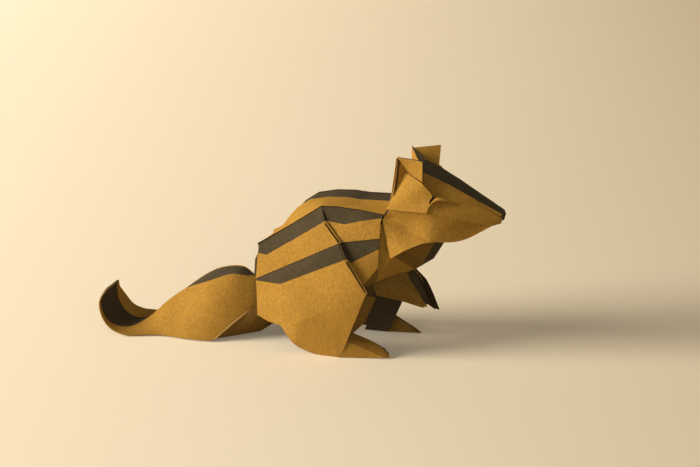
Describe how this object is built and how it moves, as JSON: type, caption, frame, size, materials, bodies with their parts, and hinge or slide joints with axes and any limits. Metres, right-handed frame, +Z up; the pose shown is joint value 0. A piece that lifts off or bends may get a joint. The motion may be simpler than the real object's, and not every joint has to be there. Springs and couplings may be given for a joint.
{
  "type": "origami chipmunk",
  "caption": "Folded paper chipmunk sitting on its haunches, with a pleated striped back, open ears, small arms and a curled tail.",
  "frame": {"origin": "centre of the bounding box in plan, at the level of the soles", "axes": "+X from the tail to the nose, +Y to the animal's left, +Z up"},
  "size_m": [0.1516, 0.0438, 0.0742],
  "materials": {
    "paper": "matte"
  },
  "bodies": {
    "root": {"folded_sheet": "paper"}
  },
  "joints": []
}
